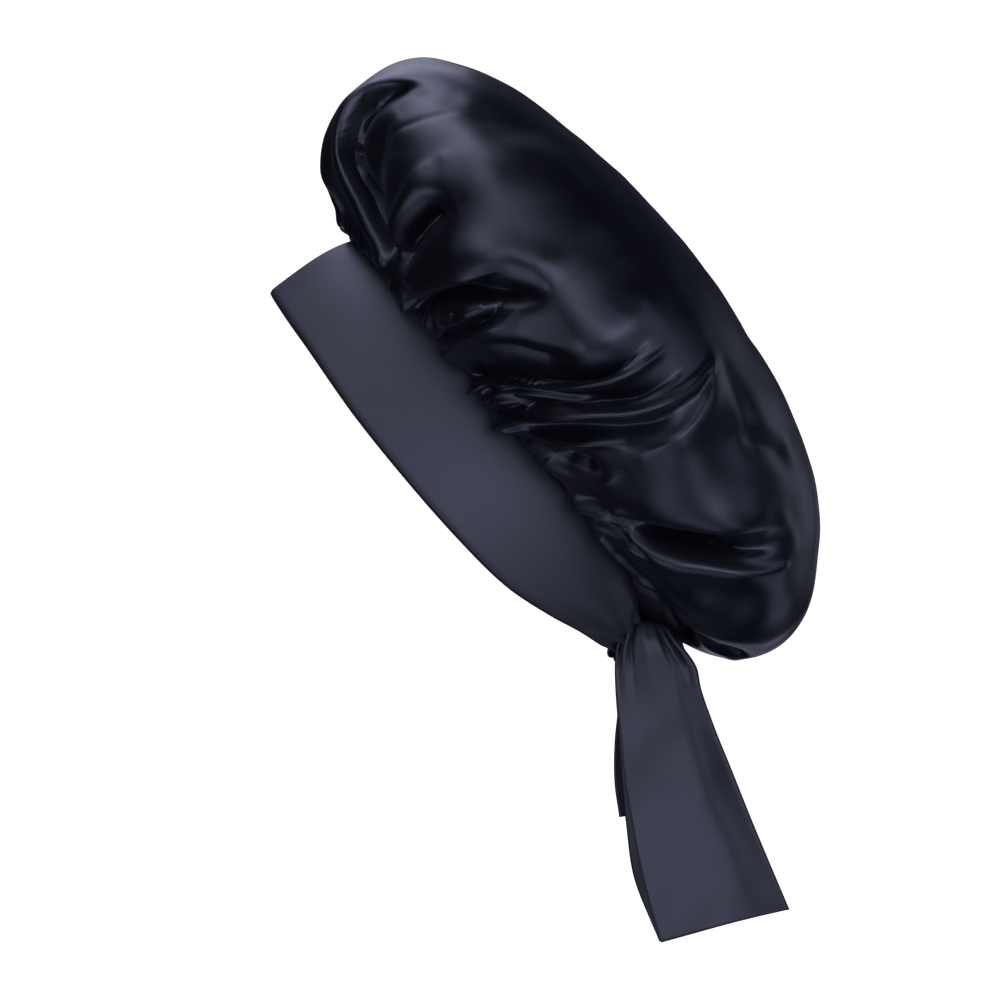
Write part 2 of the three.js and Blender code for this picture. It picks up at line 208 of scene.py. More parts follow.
# A trace of cool grey light from all round keeps the deepest folds from going quite black.
air = world.node_tree.nodes["Background"].inputs
air["Color"].default_value = linear("8a93a8")
air["Strength"].default_value = 0.02
bpy.context.scene.world = world
bpy.context.scene.view_settings.view_transform = "Standard"
print(len(BOXES), "soft boxes")

# %% [markdown]
# ## The crown's smooth shape
#
# Before any fold, the crown is a smooth puffed form. It is described round its own axis, which leans back
# 46.6 degrees, by sections: one for each angle round from the front. Each section leaves the seam, swells
# to its widest and closes over the top, as two quarters of a rounded oval. A handful of rows gives the
# sections at a few angles, and a smooth curve fills in between. All sizes are millimetres until the last
# step turns them to metres.

# %% The crown's sections
TILT = math.radians(46.6)
MM = 0.001
# Ovals round the axis: how far they reach to the front, the back and the side, and how square they are.
EDGE_OVAL = {"front": 104.9, "back": 106, "side": 75, "power": 2}
SEAM_OVAL = {"front": 100.2, "back": 106.7, "side": 72, "power": 2}
RIM_OVAL = {"front": 100.2, "back": 110.5, "side": 72, "power": 2}
PUFF_OVAL = {"front": 140.7, "back": 151.5, "side": 115, "power": 2.1}
CROWN_TOP = 141
SEWING_GAP = 0.5
SECTIONS = {
    "angle": [0, 60, 90, 120, 150, 180],
    "rim": [43.5, 39, 35, 34, 31, 22.4],
    "widest": [87, 86, 84, 76, 63, 53],
    "low": [2.3, 1.85, 1.55, 1.45, 1.5, 1.8],
    "high": [2.65, 2.5, 2.3, 2.05, 1.94, 1.92],
}

# How many points a section gets, and how many each of its two quarters of an oval is worked out with.
SECTION_STEPS, QUARTER_STEPS = 160, 60
# The two ovals of a section meet in a tight bend, so each of its points moves to a mean of those near it.
SOFTENING = np.exp(-(np.linspace(-2, 2, 25) ** 2))
SOFTENING /= SOFTENING.sum()

# %% Functions for the smooth crown


def smooth_curve(at, values, slopes, where):
    """Values at some places on a smooth curve with known values and slopes at the rows of a table."""
    row = np.clip(np.searchsorted(at, where, side="right") - 1, 0, len(at) - 2)
    lone = [1] * (values.ndim - 1)
    span = (at[row + 1] - at[row]).reshape(-1, *lone)
    t = (where - at[row]).reshape(-1, *lone) / span
    rise = values[row + 1] - values[row]
    bend = (1 - t) * (slopes[row] * span - rise) + t * (rise - slopes[row + 1] * span)
    return values[row] + rise * t + t * (1 - t) * bend


def between(table, column, angles):
    """The value of a table's column at some angles, on a smooth curve through its rows."""
    at, values = (np.array(table[k], float) for k in ("angle", column))
    slopes = np.zeros(len(at))
    slopes[1:-1] = (values[2:] - values[:-2]) / (at[2:] - at[:-2])
    return smooth_curve(at, values, slopes, np.clip(np.abs(angles), at[0], at[-1]))


def reach(oval, angles):
    """How far an oval reaches from the axis at some angles."""
    a = np.radians(angles)
    along = np.where(np.cos(a) >= 0, oval["front"], oval["back"])
    total = (np.abs(np.cos(a)) / along) ** oval["power"] + (np.abs(np.sin(a)) / oval["side"]) ** oval["power"]
    return total ** (-1 / oval["power"])


def quarter(turn, power):
    """A quarter of a rounded oval: how far out and how far along, for each turn from 0 to a right angle."""
    size = (np.sin(turn) ** power + np.cos(turn) ** power) ** (-1 / power)
    return np.sin(turn) * size, np.cos(turn) * size


def soften(line):
    """Rounds off a line of evenly spaced points and keeps its two ends."""
    wide = len(SOFTENING) // 2
    padded = np.concatenate([2 * line[0] - line[wide:0:-1], line, 2 * line[-1] - line[-2 : -wide - 2 : -1]])
    return np.convolve(padded, SOFTENING, mode="valid")


def smooth_crown(angles, ups):
    """Points on the smooth crown, one row for each angle and one column for each share of the way up."""
    points = np.zeros((len(angles), len(ups), 3))
    turns = np.linspace(0, np.pi / 2, QUARTER_STEPS)
    columns = {c: between(SECTIONS, c, angles) for c in ("rim", "widest", "low", "high")}
    rims, puffs = reach(RIM_OVAL, angles), reach(PUFF_OVAL, angles)
    for i, angle in enumerate(angles):
        rim, widest, low, high = (columns[c][i] for c in ("rim", "widest", "low", "high"))
        out, down = quarter(turns, low)
        lower = rims[i] + (puffs[i] - rims[i]) * out, widest - (widest - rim - SEWING_GAP) * down
        rise, out = quarter(turns[1:], high)
        upper = puffs[i] * out, widest + (CROWN_TOP - widest) * rise
        far, height = (np.concatenate(pair) for pair in zip(lower, upper))
        length = np.concatenate([[0], np.cumsum(np.hypot(np.diff(far), np.diff(height)))])
        steps = np.linspace(0, 1, SECTION_STEPS)
        far, height = (soften(np.interp(steps * length[-1], length, line)) for line in (far, height))
        far, height = (np.interp(ups, steps, line) for line in (far, height))
        a = math.radians(angle)
        points[i] = np.stack([far * math.sin(a), -far * math.cos(a), height], axis=1)
    return points


def to_frame(points):
    """Points in millimetres round the crown's axis, as metres in the shared frame."""
    x, s, h = np.moveaxis(np.asarray(points, float), -1, 0)
    y = s * math.cos(TILT) + h * math.sin(TILT)
    z = -s * math.sin(TILT) + h * math.cos(TILT)
    return np.stack([x, y, z], axis=-1) * MM


# %% [markdown]
# ## A grid that is fine where the folds are
#
# The folds start at the seam and die out towards the top, and the left side has the finest ones. So the
# rows lie closer near the seam and the columns closer on the left side, which puts the detail where it
# shows and keeps the mesh light on the smooth top. Random small shapes come from one seeded generator, so
# every run makes the same bonnet.

# %% The crown's grid
LEFT_COLUMNS, RIGHT_COLUMNS, CROWN_ROWS = 402, 180, 150
# Where columns and rows lie closest, how far that reaches, and how much closer they lie there.
FINE_ANGLES = {"middle": 95, "reach": 50, "extra": 0.9}
FINE_UPS = {"middle": 0.15, "reach": 0.22, "extra": 2.6}
SPACING_STEPS = 721
dice = np.random.default_rng(46)


def crowded(start, end, count, fine):
    """Evenly growing numbers from start up to end, closer together round one place."""
    at = np.linspace(start, end, SPACING_STEPS)
    density = 1 + fine["extra"] * np.exp(-(((at - fine["middle"]) / fine["reach"]) ** 2))
    total = np.concatenate([[0], np.cumsum((density[1:] + density[:-1]) / 2)])
    return np.interp(np.linspace(0, total[-1], count, endpoint=False), total, at)


right_angles = np.linspace(-180, 0, RIGHT_COLUMNS, endpoint=False)
crown_angles = np.concatenate([right_angles, crowded(0, 180, LEFT_COLUMNS, FINE_ANGLES)])
crown_ups = crowded(0, 1, CROWN_ROWS, FINE_UPS)
base = smooth_crown(crown_angles, crown_ups)


def grid_normals(points, closed):
    """The outward unit normal at each point of a grid. A closed grid's rows join up at the ends."""
    if closed:
        along = np.roll(points, -1, axis=0) - np.roll(points, 1, axis=0)
    else:
        along = np.gradient(points, axis=0)
    normal = np.cross(along, np.gradient(points, axis=1))
    return normal / np.maximum(np.linalg.norm(normal, axis=-1, keepdims=True), 1e-9)


base_normals = grid_normals(base, True)
print("crown grid", base.shape[:2])

# %% [markdown]
# ## Folds, one by one
#
# Each fold is a line drawn on the smooth crown. A ridge lifts the cloth along its line and a crease sinks
# it. A real fold is rarely even: it has a soft side that rises slowly and a steep side that drops, and
# often it leans over, so the cloth hangs past itself. So every row of the table has a half width for each
# side and a lean. The two ends have their own share of the height, because a fold is deepest where it
# leaves the gathers.
#
# This could be left to a cloth simulation, but then the folds fall where they like. Placing them follows
# the real bonnet, and the smaller gathers between them can still be left to chance.

# %% The table of folds
# path: points of (angle, share of the way up). lift: height in mm. fore and aft: half widths in mm, on the
# side towards the front or top of the line and on the other. lean: how far a ridge's top moves towards aft,
# for each mm of lift; a crease's bottom moves the other way. ends: the share of the lift that is left at
# the line's start and end.
FRONT_FOLDS = {
    "front roll": ([(8, 0.12), (12, 0.2), (14, 0.3)], 3, 14, 9, 0, (0.8, 0.3)),
    "lip": ([(35, 0.05), (27, 0.13), (19.5, 0.175), (16.5, 0.24), (17.5, 0.31), (24, 0.385)],
        4, 6, 1.8, 0.7, (0.6, 0)),
    "hollow": ([(37, 0.067), (29, 0.137), (21.8, 0.182), (18.8, 0.247), (20.4, 0.322), (27, 0.383)],
        -9, 2.8, 8, 0.4, (0.8, 0)),
    "front dip": ([(36, 0.1), (31, 0.17), (28, 0.24), (28, 0.31)], -8, 11, 15, 0, (0.6, 0.3)),
    "brow ridge": ([(41, 0.115), (43.5, 0.195), (44, 0.265), (45, 0.315)], 3.4, 5, 9, 0, (0.8, 0.3)),
    "brow crease": ([(30, 0.27), (34, 0.33), (38, 0.41)], -0.8, 1.6, 2, 0, (0.6, 0)),
    "brow valley": ([(45, 0.08), (49, 0.17), (51.5, 0.235), (54, 0.285)], -12, 7, 4, 0.3, (1, 0.1)),
    "curl": ([(47, 0.05), (48, 0.09), (51, 0.12)], 3, 2, 2, 0, (0.6, 0)),
    "curl hole": ([(49, 0.045), (50, 0.075)], -4, 2, 2, 0, (0.8, 0.3)),
    "top dip": ([(24, 0.34), (30, 0.38), (36, 0.44)], -1.6, 8, 8, 0, (0.3, 0)),
    "crown patch": ([(41, 0.44), (44, 0.515)], -2, 12, 12, 0, (1, 1)),
    "crown brow": ([(52, 0.295), (56, 0.415), (62, 0.545)], 3, 16, 16, 0, (0.4, 0)),
}
EAR_FOLDS = {
    "temple lip": ([(46, 0.01), (53, 0.083), (59, 0.147), (65, 0.223), (70.5, 0.29)],
        5, 13, 2, 0.6, (0.7, 0)),
    "temple swell": ([(59.5, 0.23), (67, 0.285), (74, 0.33), (80, 0.37)], 2.6, 7, 7, 0, (0.5, 0)),
    "temple valley": ([(51, 0.04), (56.5, 0.1), (63, 0.167), (69, 0.21), (77, 0.275), (79, 0.32)],
        -10, 3, 3.6, 0, (1, 0)),
    "loop": ([(62, 0.07), (67.5, 0.135), (70.5, 0.19)], 5.5, 4.6, 4, 0, (0.5, 0.8)),
    "loop eye": ([(65, 0.115), (68, 0.15)], -3.5, 2, 2, 0, (0.6, 0.3)),
    "loop crease": ([(62, 0.02), (69.5, 0.12), (73, 0.173), (73, 0.215)], -4, 1.4, 1.6, 0, (1, 0.2)),
    "cheek lip": ([(64, 0.02), (67.5, 0.063), (72.5, 0.14), (76, 0.19), (78, 0.24)],
        4, 1.4, 8, 0, (0.9, 0)),
    "cheek valley": ([(74, 0.115), (80, 0.165), (86, 0.205), (93, 0.26)], -3, 2.4, 12, 0, (0.5, 0)),
    "pillow": ([(93, 0.297), (94.5, 0.347), (94.5, 0.39), (93, 0.423)], 3, 13, 10, 0, (0.8, 0.8)),
}
SIDE_FOLDS = {
    "long crease": ([(75, 0.02), (83, 0.095), (89.5, 0.155), (95, 0.23), (98.5, 0.3), (100, 0.4)],
        -8, 5, 1.6, -0.6, (0.9, 0)),
    "thin ridge": ([(78.5, 0.03), (85, 0.1), (92, 0.175), (97.5, 0.24), (101.5, 0.31), (104, 0.42)],
        4.6, 1.3, 2.2, 0, (0.8, 0)),
    "thin groove": ([(83, 0.055), (90, 0.125), (97, 0.2), (101.5, 0.265)], -1.6, 1, 1, 0, (0.8, 0)),
    "under ridge": ([(85, 0.055), (91, 0.12), (97.5, 0.185), (103, 0.26)], 2, 1.2, 4, 0, (0.8, 0)),
    "eye hole": ([(81.5, 0.035), (83.5, 0.04)], -4.5, 1.3, 1.3, 0, (1, 1)),
    "eye blob": ([(80, 0.03), (80.5, 0.045)], 2.5, 2, 2, 0, (1, 1)),
    "little loop": ([(85.5, 0.03), (89, 0.075), (92.5, 0.095), (92, 0.065)], 3, 1.6, 1.6, 0, (0.7, 0.7)),
    "little eye": ([(88, 0.025), (90, 0.05)], -3.5, 1.4, 1.4, 0, (0.8, 0.6)),
    "long valley": ([(91, 0.07), (96, 0.16), (101, 0.225), (105, 0.29), (108, 0.37), (109.5, 0.42)],
        -7, 5, 1.8, -0.5, (0.6, 0)),
    "ridge": ([(91.5, 0.02), (97, 0.11), (103.5, 0.215), (108.5, 0.285), (112, 0.37), (114, 0.46)],
        6.5, 1.8, 2.6, 0, (0.8, 0.3)),
    "almond": ([(98.5, 0.04), (104.5, 0.14), (110, 0.225), (113, 0.3), (114, 0.37)],
        -7, 3.6, 4, 0, (0.6, 0.2)),
    "lower ridge": ([(93, 0.015), (100, 0.055), (106, 0.113), (110, 0.18), (113.5, 0.22)],
        4.5, 1.8, 2.6, 0, (0.8, 0)),
    "almond rim": ([(116.5, 0.24), (117, 0.3), (117.5, 0.36), (116.5, 0.42), (114.5, 0.47)],
        3, 2.4, 8, 0, (0.2, 0.5)),
    "swirl": ([(108.5, 0.06), (112, 0.1), (116, 0.13)], -5, 3, 2.4, 0, (0.3, 0.2)),
    "swirl rim": ([(112, 0.03), (117, 0.06), (119.5, 0.12), (118, 0.175)], 1.6, 2.4, 2.4, 0, (0.3, 0)),
    "side line": ([(118, 0.005), (124, 0.05), (126, 0.11), (127, 0.18)], -2, 4, 2, 0, (0.8, 0)),
}
BACK_FOLDS = {
    "side shade": ([(119, 0.5), (123.5, 0.48), (128, 0.455)], -1.6, 7, 7, 0, (0.9, 0.9)),
    "dent": ([(127, 0.405), (134, 0.445), (141, 0.47), (149, 0.49)], -3.4, 5, 6, 0, (0.2, 0)),
    "pouch": ([(134, 0.07), (142, 0.12), (151, 0.135), (159, 0.13)], 6.5, 14, 16, 0, (0.7, 0.6)),
    "pouch corner": ([(152, 0.295), (158, 0.235), (163, 0.175)], 2.4, 16, 16, 0, (0.9, 0.9)),
    "strip": ([(124, 0.005), (127.5, 0.055), (131, 0.1), (135.5, 0.14)], 3.5, 1.8, 1.8, 0, (0.8, 0.1)),
    "strip groove": ([(128, 0.01), (131.5, 0.055), (135, 0.095), (139, 0.13)], -3, 1.5, 1.5, 0, (0.8, 0)),
    "gape": ([(130, 0.085), (134, 0.17), (138.5, 0.24), (144, 0.295), (149.5, 0.335)],
        -11, 4.8, 4.2, -0.5, (0.4, 0)),
    "gape depth": ([(131, 0.11), (134.5, 0.18), (139, 0.235), (143.5, 0.28)],
        -12, 4.8, 4.6, -0.5, (0.3, 0)),
    "gape brow": ([(127, 0.1), (131, 0.185), (134.5, 0.25), (139, 0.3), (146, 0.35)],
        4, 12, 2, 0.5, (0.6, 0.1)),
    "gape lip": ([(134.5, 0.1), (138.5, 0.17), (143, 0.225), (147.5, 0.265), (151, 0.3)],
        4.5, 1.8, 9, 0, (0.7, 0.3)),
    "gape end": ([(142, 0.345), (147, 0.365), (153, 0.345), (155, 0.305)], 0.8, 4, 7, 0, (0, 0)),
    "nape pleat": ([(135, 0.03), (141.5, 0.03), (149, 0.035), (155.5, 0.05)], 2.4, 1.6, 2, 0, (0.8, 0)),
    "nape hollow": ([(150, 0), (155, 0.018), (160, 0.034), (165, 0.043), (171, 0.05), (178, 0.05)],
        -16, 4.5, 5.5, -0.4, (0.5, 0.1)),
    "nape lip": ([(146, 0.01), (150, 0.03), (153.5, 0.055), (157, 0.085), (163, 0.1)],
        2, 2.4, 10, 0, (0.7, 0)),
    "nape dip": ([(140.5, 0.1), (147, 0.12)], -1.2, 6, 6, 0, (1, 1)),
    "nape tuck": ([(163, 0.09), (166.5, 0.107), (169.5, 0.14), (177, 0.165)], -2.4, 3, 2, 0, (0.6, 0)),
    "nape roll": ([(166, 0.08), (171, 0.1), (174.5, 0.13), (181, 0.15)], 1, 3, 4, 0, (0.5, 0)),
    "back slope": ([(130, 0.76), (160, 0.8), (200, 0.8), (230, 0.76)], -3.5, 30, 30, 0, (0.5, 0.5)),
}

# %% [markdown]
# ## How a fold moves the cloth
#
# For each point of the grid, the fold's line gives three things: how far away it is, on which side, and how
# far along it the point lies. Taking just the nearest point of the line would leave a hard crease where two
# parts of a curved line are equally near, so all the line's points have a say, and near ones far more than
# far ones. Points then rise along the cloth's own outward direction, and a leaning fold also slides them
# sideways.

# %% How a fold's line and its height are worked out
# How many points a smooth curve gets between two points of a fold's path.
PATH_STEPS = 24
# How close the points on a fold's line lie, in mm, and how many half widths away it stops moving the cloth.
LINE_STEP = 0.8
OUT_OF_REACH = 2.8
# How fast a line point's say falls with its distance, the sum this gives 1 mm off a long straight line, and
# the distance in mm below which two points count as one.
SAY_POWER = 8
SAY_TOTAL = 0.982
SAME_PLACE = 0.4
# The part of a fold's length over which its height changes towards each end.
END_LENGTH = 0.33
# A ridge is round on top. A crease is sharper at its bottom, where two rounds of cloth meet.
RIDGE_POWER = 2
CREASE_POWER = 1.5


def smooth_path(path):
    """Closely spaced points on a smooth curve through the path's points."""
    rows = np.array(path, float)
    padded = np.concatenate([2 * rows[:1] - rows[1:2], rows, 2 * rows[-1:] - rows[-2:-1]])
    t = np.linspace(0, 1, PATH_STEPS, endpoint=False)[:, None]
    parts = []
    for a, b, c, d in zip(padded, padded[1:], padded[2:], padded[3:]):
        bend = (2 * a - 5 * b + 4 * c - d) * t**2 + (3 * b - a - 3 * c + d) * t**3
        parts.append(b + 0.5 * ((c - a) * t + bend))
    return np.concatenate(parts + [rows[-1:]])


# %% Moving the cloth
fine_angles = np.linspace(-180, 180, 361)
fine_ups = np.linspace(0, 1, 201)
fine_crown = smooth_crown(fine_angles, fine_ups)


def on_crown(rows):
    """Points of the smooth crown at rows of (angle, share of the way up)."""
    a = (rows[:, 0] + 180) % 360
    u = np.clip(rows[:, 1], 0, 1) * (len(fine_ups) - 1)
    i, j = np.floor(a).astype(int), np.minimum(np.floor(u).astype(int), len(fine_ups) - 2)
    p, q = (a - i)[:, None], (u - j)[:, None]
    low = fine_crown[i, j] * (1 - p) + fine_crown[(i + 1) % 360, j] * p
    high = fine_crown[i, j + 1] * (1 - p) + fine_crown[(i + 1) % 360, j + 1] * p
    return low * (1 - q) + high * q


def fold_shift(points, normals, path, lift, fore, aft, lean, ends):
    """How far one fold moves each point. points and normals are flat lists."""
    line = on_crown(smooth_path(path))
    length = np.concatenate([[0], np.cumsum(np.linalg.norm(np.diff(line, axis=0), axis=1))])
    steps = np.linspace(0, length[-1], max(3, int(length[-1] / LINE_STEP)))
    line = np.stack([np.interp(steps, length, line[:, k]) for k in range(3)], axis=1)
    along = np.gradient(line, axis=0)
    margin = OUT_OF_REACH * max(fore, aft)
    near = np.all((points > line.min(0) - margin) & (points < line.max(0) + margin), axis=1)
    here, up = points[near], normals[near]
    square = (here**2).sum(1)[:, None] + (line**2).sum(1)[None] - 2 * here @ line.T
    say = np.maximum(square, 0) + SAME_PLACE**2
    say = say ** (-SAY_POWER / 2)
    total = say.sum(axis=1, keepdims=True)
    far = (total[:, 0] * LINE_STEP / SAY_TOTAL) ** (-1 / (SAY_POWER - 1))
    say /= total
    side = np.cross(say @ along, up)
    side /= np.maximum(np.linalg.norm(side, axis=1, keepdims=True), 1e-9)
    sideways = np.clip(((here - say @ line) * side).sum(1) / far, -1, 1)
    half_width = fore + (aft - fore) * (0.5 + 0.5 * sideways)
    t = say @ np.linspace(0, 1, len(line))
    near_end = np.clip(np.minimum(t, 1 - t) / END_LENGTH, 0, 1)
    middle_part = near_end**2 * (3 - 2 * near_end)
    share = middle_part + (1 - middle_part) * (ends[0] * (1 - t) + ends[1] * t)
    roundness = RIDGE_POWER if lift > 0 else CREASE_POWER
    rise = lift * share * np.exp(-((far / half_width) ** roundness))
    shift = np.zeros_like(points)
    shift[near] = up * rise[:, None] + side * (lean * rise)[:, None]
    return shift


def fold_all(points, normals, folds):
    """The sum of what all the folds of a table do to a grid of points."""
    flat_points, flat_normals = points.reshape(-1, 3), normals.reshape(-1, 3)
    total = np.zeros_like(flat_points)
    for row in folds:
        total += fold_shift(flat_points, flat_normals, *row)
    return total.reshape(points.shape)


# %% [markdown]
# ## Gathers by chance
#
# Between the big folds the seam is full of small gathers: the cloth's edge is more than twice as long as
# the band, and the spare length stands up in little tucks that fade a few centimetres above the seam. Their
# place, length and height are drawn by chance from the seeded generator. The far side, which the photo
# doesn't show, gets its large folds the same way. Loose cloth is never quite even either, so a few slow
# waves in chance directions ripple all of the crown by about half a millimetre, except close to the seam.

# %% Small gathers, the far side and the slow waves
# Angles, spreads and slants are in degrees, tall and start are shares of the way up the crown, and lifts and
# half widths are in mm. A gather's size is a factor: the bigger, the taller, higher and wider it is. A far
# fold's slant is that of a fold all the way up. A pair holds the least and the most, but the gathers' slant
# has its mean and its spread.
SEAM_GATHERS = 60
GATHER = {
    "spread": 1.6,
    "size": (0.4, 1.5),
    "tall": 0.05,
    "tall for size": 0.055,
    "part of tall": (0.5, 1),
    "slant": (2, 2.5),
    "lift": 1.1,
    "half width": 1.3,
    "half width for size": (0.3, 1.5),
}
# How big the small gathers are: calm behind the wearer's left ear, and calmer still at the nape.
QUIET = {"angle": [-160, -140, 95, 105, 125, 140], "share": [0.3, 1, 1, 0.4, 0.4, 0.15]}
FAR_FOLDS = 17
FAR_FOLD = {
    "first": -16,
    "turn": 150,
    "spread": 2,
    "tall": (0.25, 0.46),
    "slant": (50, 80),
    "start": (0.01, 0.06),
    "bend": {"slant": 0.4, "tall": 0.45},
    "ridge": (3, 5),
    "valley": (4, 8),
    "fore": (2.5, 6),
    "aft": (3, 8),
    "lean": (-0.3, 0.3),
}
WAVES = ({"length": 44, "height": 0.4, "count": 9}, {"length": 19, "height": 0.1, "count": 12})
# The waves start a little above the seam and are at their full height soon after, as shares of the way up.
WAVES_FROM, WAVES_FADE = 0.04, 0.15

# %% Draw them by chance


def seam_gather(place):
    """One small tuck that starts at the seam near a place given as a share of the way round."""
    angle = 360 * place - 180 + dice.normal(0, GATHER["spread"])
    size = dice.uniform(*GATHER["size"]) * np.interp(angle, QUIET["angle"], QUIET["share"])
    tall = GATHER["tall"] + GATHER["tall for size"] * size * dice.uniform(*GATHER["part of tall"])
    slant = dice.normal(*GATHER["slant"]) * np.sign(np.sin(math.radians(angle)))
    path = [(angle, 0), (angle + slant / 2, tall / 2), (angle + slant, tall)]
    fore, aft = (GATHER["half width"] + size * dice.uniform(*GATHER["half width for size"]) for _ in range(2))
    return path, GATHER["lift"] * size, fore, aft, 0, (1, 0)


def far_fold(place):
    """One large fold or valley on the wearer's right."""
    angle = FAR_FOLD["first"] - FAR_FOLD["turn"] * place + dice.normal(0, FAR_FOLD["spread"])
    tall = dice.uniform(*FAR_FOLD["tall"])
    slant = -tall * dice.uniform(*FAR_FOLD["slant"])
    start = dice.uniform(*FAR_FOLD["start"])
    bend = FAR_FOLD["bend"]
    path = [(angle, start), (angle + bend["slant"] * slant, bend["tall"] * tall), (angle + slant, tall)]
    is_ridge = round(place * (FAR_FOLDS - 1)) % 2
    lift = dice.uniform(*FAR_FOLD["ridge"]) if is_ridge else -dice.uniform(*FAR_FOLD["valley"])
    fore, aft, lean = (dice.uniform(*FAR_FOLD[column]) for column in ("fore", "aft", "lean"))
    return path, lift, fore, aft, lean, (0.8, 0)


def slow_waves(points):
    """How far the slow waves lift each point."""
    total = np.zeros(points.shape[:-1])
    for wave in WAVES:
        ways = dice.normal(size=(wave["count"], 3))
        ways *= 2 * np.pi / wave["length"] / np.linalg.norm(ways, axis=1, keepdims=True)
        phases = dice.uniform(0, 2 * np.pi, wave["count"])
        total += wave["height"] * math.sqrt(2 / wave["count"]) * np.sin(points @ ways.T + phases).sum(-1)
    return total


placed = [row for table in (FRONT_FOLDS, EAR_FOLDS, SIDE_FOLDS, BACK_FOLDS) for row in table.values()]
chance = [seam_gather(i / SEAM_GATHERS) for i in range(SEAM_GATHERS)]
chance += [far_fold(i / (FAR_FOLDS - 1)) for i in range(FAR_FOLDS)]
crown_shift = fold_all(base, base_normals, placed + chance)
away_from_seam = np.clip((crown_ups - WAVES_FROM) / WAVES_FADE, 0, 1)[None, :]
crown_shift += base_normals * (slow_waves(base) * away_from_seam)[..., None]
print(len(placed), "folds placed and", len(chance), "left to chance")

# %% [markdown]
# ## The crown's hem
#
# The crown's raw edge is sewn inside the band. So the cloth starts behind the band's upper edge, comes up
# over it, and rolls out a little lower than the seam, which hides the seam and closes the gap to the eye.
# Two rows of points at the start of each column make this hem, and a small sag makes the roll.

# %% The band's edges and the crown's hem
BAND = {
    "angle": [0, 30, 60, 90, 115, 130, 144, 155, 164, 172],
    "lower": [0, -3.5, -9.2, -12.1, -12.9, -11.8, -7.4, -3, -0.2, 1.5],
    "upper": [43.5, 42, 39, 35, 33.5, 32.5, 31, 28.5, 25, 20.5],
}
# The angle at which the band ends, how thick it is, and how far its upper edge turns in, in mm.
BAND_END = 171
BAND_WALL = 1.8
BAND_TUCK = 5.5
HEM_INSIDE = BAND_TUCK + BAND_WALL + SEWING_GAP
# How deep the hem reaches behind the band and what is left of it at the band's ends, in mm, and the degrees
# over which it shortens.
HEM_DEPTH = 5
HEM_LEAST = 0.2
HEM_FADE = 4
# How far the cloth sags, how far outside the seam it sags most, and how wide the sag is, in mm.
SAG = {"depth": 3.4, "out": 5, "width": 4.5}
# The sag dies out towards the nape, where the knot draws the cloth in.
SAG_FADE = {"angle": [135, 165], "share": [1, 0.2]}


def hem_rows(angles):
    """Two rows of points: the hem's hidden end behind the band, and where it comes over the band."""
    out = reach(SEAM_OVAL, angles) - HEM_INSIDE
    top = between(BAND, "upper", angles) + SEWING_GAP / 2
    depth = HEM_DEPTH * np.clip((BAND_END - np.abs(angles)) / HEM_FADE, 0, 1)
    a = np.radians(angles)
    heights = (top - depth - HEM_LEAST, top)
    return np.stack([np.stack([out * np.sin(a), -out * np.cos(a), h], axis=1) for h in heights], axis=1)


def sag(points, angles):
    """How far the cloth just outside the seam hangs below it."""
    far = np.hypot(points[..., 0], points[..., 1]) - reach(RIM_OVAL, angles)[:, None]
    share = np.interp(np.abs(angles), SAG_FADE["angle"], SAG_FADE["share"])[:, None]
    return -SAG["depth"] * share * np.exp(-(((far - SAG["out"]) / SAG["width"]) ** 2))


# Cloth on the top can be as near to the axis as the seam is, so only the lower rows sag.
low_rows = np.arange(len(crown_ups)) < len(crown_ups) // 2
crown_shift[..., 2] += sag(base, crown_angles) * low_rows

# %% [markdown]
# ## The crown's mesh
#
# The moved grid is the outside of the cloth. Real satin is a quarter of a millimetre thick; here the wall
# is thicker, so that it stays closed and can be measured. The inside takes only some of the rows and
# columns, and lies one wall behind the deepest outside point near it, so that it never pokes out through a
# crease. The two are joined along the hem, and the top is closed with a fan of triangles.

# %% Mesh helpers


def ring_faces(columns, rows, start, flip):
    """Quads of a grid that closes on itself along its columns."""
    i, j = np.meshgrid(np.arange(columns), np.arange(rows - 1), indexing="ij")
    after = (i + 1) % columns
    quads = np.stack([i * rows + j, after * rows + j, after * rows + j + 1, i * rows + j + 1], axis=-1)
    quads = quads.reshape(-1, 4) + start
    return (quads[:, ::-1] if flip else quads).tolist()


def fan_faces(columns, rows, first, tip, flip):
    """Triangles that close one row of a grid's points with a tip. first is that row's first point."""
    ring = [first + i * rows for i in range(columns)]
    return [[b, a, tip] if flip else [a, b, tip] for a, b in zip(ring, ring[1:] + ring[:1])]


def object_from(name, points, faces, uvs=None):
    """A smooth-shaded object from points in metres, faces, and a texture place for each point."""
    mesh = bpy.data.meshes.new(name)
    mesh.from_pydata(points.tolist(), [], faces)
    if uvs is not None:
        layer = mesh.uv_layers.new(name="cloth")
        loops = np.zeros(len(mesh.loops), int)
        mesh.loops.foreach_get("vertex_index", loops)
        layer.data.foreach_set("uv", uvs[loops].ravel())
    mesh.polygons.foreach_set("use_smooth", np.ones(len(mesh.polygons), bool))
    mesh.update()
    made = bpy.data.objects.new(name, mesh)
    bpy.context.collection.objects.link(made)
    return made


# %% The crown's outside and inside
CROWN_WALL = 0.9
INNER_COLUMN_STEP, INNER_ROW_STEP = 3, 4
TOP_POINT = (0.0, 0.0, CROWN_TOP)


def lowest_near(values):
    """The lowest of each value and its neighbours, as far as the inside's grid steps."""
    for axis, step in ((0, INNER_COLUMN_STEP), (1, INNER_ROW_STEP)):
        values = np.minimum.reduce([np.roll(values, k, axis=axis) for k in range(-step, step + 1)])
    return values


